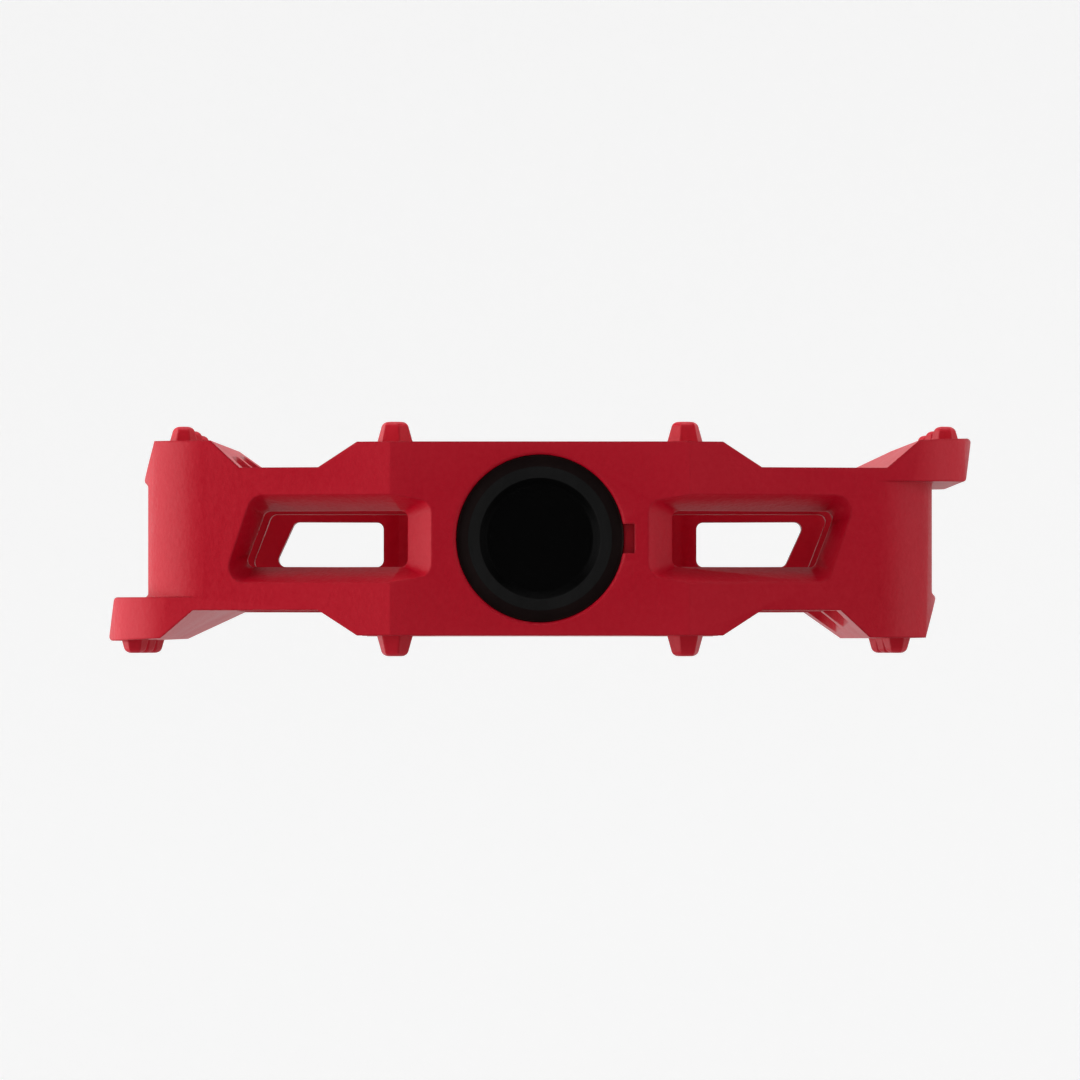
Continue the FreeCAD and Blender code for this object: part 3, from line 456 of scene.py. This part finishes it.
THREAD_PITCH = 25.4 / 20 * MM
THREAD_CREST = 7.14 * MM
THREAD_DEPTH = 0.75 * MM
THREAD_ROOT = THREAD_CREST - THREAD_DEPTH
THREAD_STEPS = 16
STUD_PITCH = 1.0 * MM
STUD_CREST = 3.0 * MM
STUD_DEPTH = 0.55 * MM
STUD_STEPS = 10
KEY_HALF = 4.0 * MM
HALF_FLATS = 7.5 * MM
FLANGE_RADIUS = 9.2 * MM
SEAL_SEAT = 7.0 * MM
BUSH_JOURNAL = 6.0 * MM
NECK = 5.2 * MM
BEARING_SEAT = 4.0 * MM
FLANGE_BACK = -7.0 * MM
SEAL_SEAT_BACK = -12.1 * MM
BUSH_JOURNAL_BACK = -32.1 * MM
NECK_BACK = -73.0 * MM
BEARING_SHOULDER = -82.0 * MM
BEARING_SEAT_BACK = -92.0 * MM


def thread_tooth(y, angle, pitch):
    """Height of a right-hand 60 degree thread at a place, from 0 at the root to 1 at the crest."""
    turn = (y / pitch + angle / (2 * math.pi)) % 1.0
    off_crest = abs(turn - 0.5)
    return min(1.0, max(0.0, (0.375 - off_crest) / (0.375 - 0.0625)))


def thread_rings(start, end, crest, pitch, depth, limit, angles, steps_per_turn):
    """Rings of a cut thread; limit(y) is the radius that the thread may not pass at a place."""
    rings = []
    steps = max(2, round(abs(end - start) / pitch * steps_per_turn))
    for k in range(steps + 1):
        y = start + (end - start) * k / steps
        ring = []
        for angle in angles:
            radius = crest - depth + depth * thread_tooth(y, angle, pitch)
            radius = min(radius, limit(y))
            ring.append((radius * math.cos(angle), y, radius * math.sin(angle)))
        rings.append(ring)
    return rings


def with_flat_corners(angles, corner):
    """The angles with the nearest ones moved onto the four corners of a pair of flats."""
    angles = list(angles)
    for target in (corner, math.pi - corner, math.pi + corner, 2 * math.pi - corner):
        nearest = min(range(len(angles)), key=lambda i: abs(angles[i] - target))
        angles[nearest] = target
    return angles


def spindle_forging(thread_end, stud_end):
    """The spindle: keyed and threaded end, wrench flats, seal and bush journals, bearing seat and stud."""
    angles = with_flat_corners(even_angles(192), math.asin(HALF_FLATS / FLANGE_RADIUS))

    def key_socket(angle):
        face = (angle % (math.pi / 3)) - math.pi / 6
        return KEY_HALF / math.cos(face)

    def flange(radius):
        def edge(angle):
            return min(radius, HALF_FLATS / max(abs(math.sin(angle)), 1e-9))
        return edge

    rings = [
        round_ring(radius, y, angles) for radius, y in (
            (0, thread_end - 10.6 * MM),
            (3.0 * MM, thread_end - 9.0 * MM),
            (key_socket, thread_end - 9.0 * MM),
            (key_socket, thread_end - 0.6 * MM),
            (4.95 * MM, thread_end - 0.05 * MM),
            (5.1 * MM, thread_end),
            (6.1 * MM, thread_end),
        )
    ]
    run_out = 1.9 * MM

    def thread_limit(y):
        lead_in = THREAD_CREST - 1.0 * MM + thread_end - y
        return min(lead_in, THREAD_ROOT + max(0.0, y - run_out) * 1.2)

    rings += thread_rings(
        thread_end - 0.04 * MM, run_out, THREAD_CREST, THREAD_PITCH, THREAD_DEPTH,
        thread_limit, angles, THREAD_STEPS,
    )
    rings += [
        round_ring(radius, y, angles) for radius, y in (
            (THREAD_ROOT, 0.35 * MM),
            (THREAD_ROOT + 0.1 * MM, 0.1 * MM),
            (6.75 * MM, 0.0),
            (flange(8.75 * MM), 0.0),
            (flange(9.05 * MM), -0.08 * MM),
            (flange(FLANGE_RADIUS), -0.3 * MM),
            (flange(FLANGE_RADIUS), -6.6 * MM),
            (flange(9.0 * MM), -6.9 * MM),
            (flange(8.7 * MM), FLANGE_BACK),
        )
    ]
    corners = [
        (7.4 * MM, FLANGE_BACK),
        (SEAL_SEAT, FLANGE_BACK, 0.3 * MM),
        (SEAL_SEAT, SEAL_SEAT_BACK + 0.2 * MM, 0.1 * MM),
        (BUSH_JOURNAL, SEAL_SEAT_BACK, 0.05 * MM),
        (BUSH_JOURNAL, BUSH_JOURNAL_BACK, 2.0 * MM),
        (NECK, NECK_BACK, 2.0 * MM),
        (NECK, BEARING_SHOULDER, 0.3 * MM),
        (BEARING_SEAT, BEARING_SHOULDER, 0.1 * MM),
        (BEARING_SEAT, BEARING_SEAT_BACK, 0.2 * MM),
        (STUD_CREST, BEARING_SEAT_BACK, 0.2 * MM),
        (STUD_CREST, BEARING_SEAT_BACK - 0.6 * MM),
    ]
    rings += [round_ring(point[0], point[1], angles) for point in rounded_profile(corners)]

    def stud_limit(y):
        return min(STUD_CREST, 2.4 * MM + y - stud_end)

    rings += thread_rings(
        BEARING_SEAT_BACK - 0.8 * MM, stud_end + 0.02 * MM, STUD_CREST, STUD_PITCH, STUD_DEPTH,
        stud_limit, angles, STUD_STEPS,
    )
    rings += [round_ring(radius, stud_end, angles) for radius in (2.2 * MM, 0)]
    return ring_stack("spindle_forging", rings, 28.0)


spindle_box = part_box("spindle")
dress(spindle_forging(spindle_box[1].y, spindle_box[0].y), "spindle_steel", "spindle", "spindle")


# ------------------------------------------------------------------- the stage

def studio_bowl(low, radius, bend, rise, count=96, bend_steps=16):
    """A round floor that curves up into a wall on every side, glowing softly behind the object."""
    profile = [(radius - bend, low)]
    for k in range(1, bend_steps + 1):
        angle = math.pi / 2 * k / bend_steps
        profile.append((radius - bend + bend * math.sin(angle), low + bend - bend * math.cos(angle)))
    profile.append((radius, low + rise))
    vertices = [(0.0, 0.0, low)]
    for reach, z in profile:
        vertices += [(reach * math.cos(a), reach * math.sin(a), z) for a in even_angles(count)]
    faces = []
    for i in range(count):
        j = (i + 1) % count
        faces.append((0, 1 + i, 1 + j))
        for ring in range(len(profile) - 1):
            here = 1 + ring * count
            faces.append((here + i, here + count + i, here + count + j, here + j))
    bowl = new_piece("studio_bowl", vertices, faces, 60.0)
    s = Shader("studio_paper")
    mottling = s.noise(3.0, 2.0)
    grey = s.blend_colours(mottling, (0.48, 0.48, 0.48), (0.50, 0.50, 0.50))
    s.join(grey, s.principled.inputs["Base Color"])
    s.principled.inputs["Roughness"].default_value = 0.9
    s.principled.inputs["Emission Color"].default_value = (1.0, 1.0, 1.0, 1.0)
    split = s.add("ShaderNodeSeparateXYZ")
    s.join(s.place, split.inputs["Vector"])
    glow = s.ramp(split.outputs["Y"], 0.9, 2.3, 0.26, 0.645)
    s.join(glow, s.principled.inputs["Emission Strength"])
    bowl.data.materials.append(s.material)


def soft_box(name, place, target, width, height, power):
    """A rectangular studio light aimed at the target."""
    light = bpy.data.lights.new(name, "AREA")
    light.shape = "RECTANGLE"
    light.size = width
    light.size_y = height
    light.energy = power
    lamp = bpy.data.objects.new(name, light)
    bpy.context.scene.collection.objects.link(lamp)
    lamp.location = place
    lamp.rotation_euler = (Vector(target) - Vector(place)).to_track_quat("-Z", "Y").to_euler()


outboard_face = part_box("platform_body")[0].y
middle = (0.0, (outboard_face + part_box("platform_body")[1].y) / 2, 0.0)
studio_bowl(low=-1.0, radius=2.8, bend=0.9, rise=3.2)
# Name, place across, place behind the outboard face, height, the light's two sizes, and its power.
for name, side, behind, height, width, tall, power in (
    ("key_left", -0.80, -0.08, 0.05, 0.6, 0.8, 6.2),
    ("rim_left", -0.70, 0.45, 0.05, 0.6, 0.8, 2.4),
    ("fill_right", 0.80, -0.10, 0.05, 0.6, 0.8, 1.9),
    ("overhead", 0.0, 0.14, 0.75, 1.0, 0.6, 7.5),
    ("overhead_front", 0.0, -0.50, 0.60, 1.0, 0.5, 0.7),
):
    soft_box(name, (side, outboard_face + behind, height), middle, width, tall, power)

world = bpy.data.worlds.new("studio_air")
world.use_nodes = True
world.node_tree.nodes["Background"].inputs["Color"].default_value = (1.0, 1.0, 1.0, 1.0)
world.node_tree.nodes["Background"].inputs["Strength"].default_value = 0.05
bpy.context.scene.world = world
bpy.context.scene.view_settings.view_transform = "Standard"


# ------------------------------------------------------------------ the camera

CAMERA_DISTANCE = 1.420
CAMERA_DROP = 0.0134
CAMERA_PITCH = 0.533

camera_data = bpy.data.cameras.new("camera")
camera_data.sensor_width = 36.0
camera_data.lens = 394.4
camera_data.clip_start = 0.05
camera_data.clip_end = 20.0
camera = bpy.data.objects.new("camera", camera_data)
bpy.context.scene.collection.objects.link(camera)
camera.location = (0.0, outboard_face - CAMERA_DISTANCE, -CAMERA_DROP)
camera.rotation_euler = (math.radians(90.0 + CAMERA_PITCH), 0.0, 0.0)
bpy.context.scene.camera = camera
